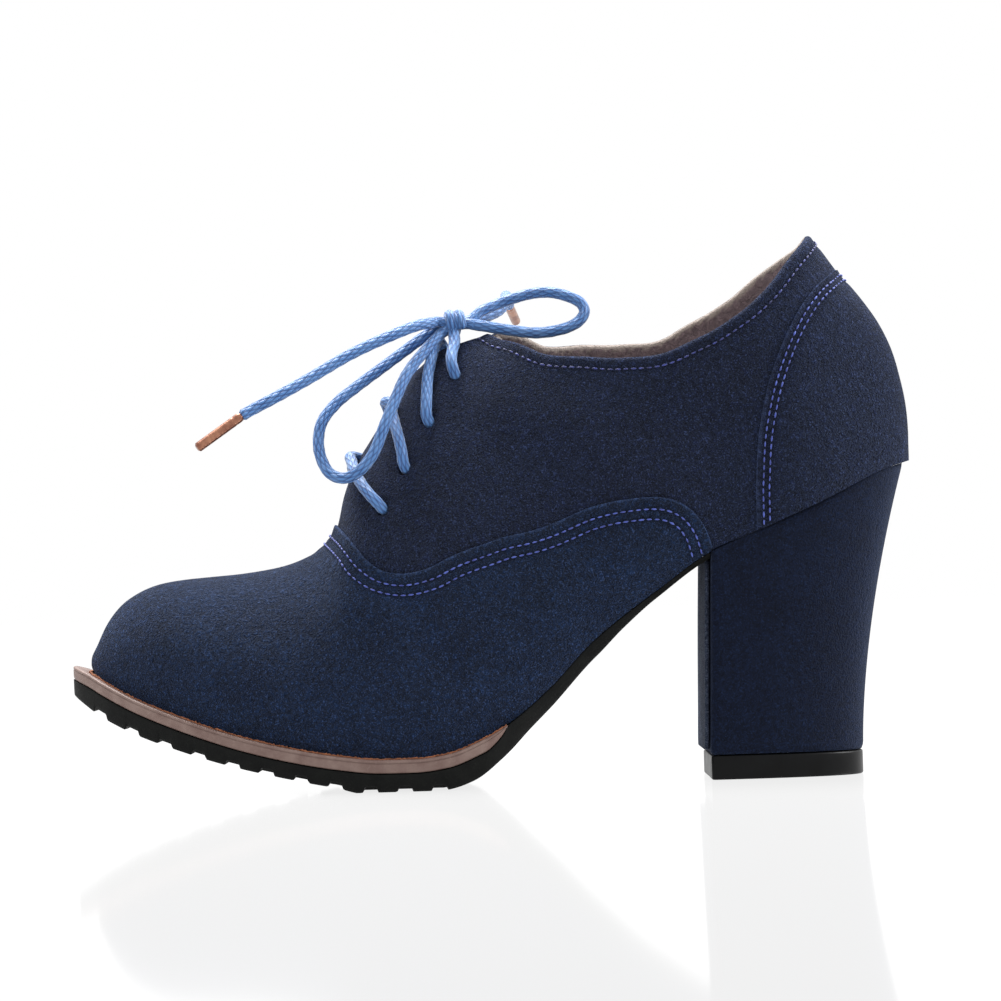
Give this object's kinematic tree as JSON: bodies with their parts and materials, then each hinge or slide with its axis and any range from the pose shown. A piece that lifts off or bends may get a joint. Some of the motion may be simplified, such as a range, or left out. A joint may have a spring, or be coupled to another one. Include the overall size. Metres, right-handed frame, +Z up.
{
  "type": "lace up block heel shoe",
  "caption": "Woman's closed lace up shoe with a round toe, suede upper, taupe welt, lugged sole and tall covered block heel, tied in a bow.",
  "frame": {"origin": "bottom centre of the shoe's box, on the floor it stands on", "axes": "+X from toe to heel, +Y to the medial side, +Z up"},
  "size_m": [0.2318, 0.1082, 0.1472],
  "materials": {
    "suede": "napped microsuede",
    "lining": "short fleece",
    "welt": "satin moulded strip",
    "sole_rubber": "matte moulded",
    "lift_rubber": "satin moulded",
    "lace": "waxed round braid",
    "aglet": "glossy film tube"
  },
  "bodies": {
    "root": {"upper": "suede", "tongue": "suede", "insole": "lining", "welt": "welt", "outsole": "sole_rubber", "heel": "suede", "heel_breast_flap": "suede", "top_lift": "lift_rubber", "lace_crossing_1": "lace", "lace_crossing_2": "lace", "lace_crossing_3": "lace", "lace_knot": "lace", "lace_end_left": "lace", "lace_loop_left": "lace", "lace_loop_right": "lace", "lace_end_right": "lace", "aglet_left": "aglet", "aglet_right": "aglet"}
  },
  "joints": []
}
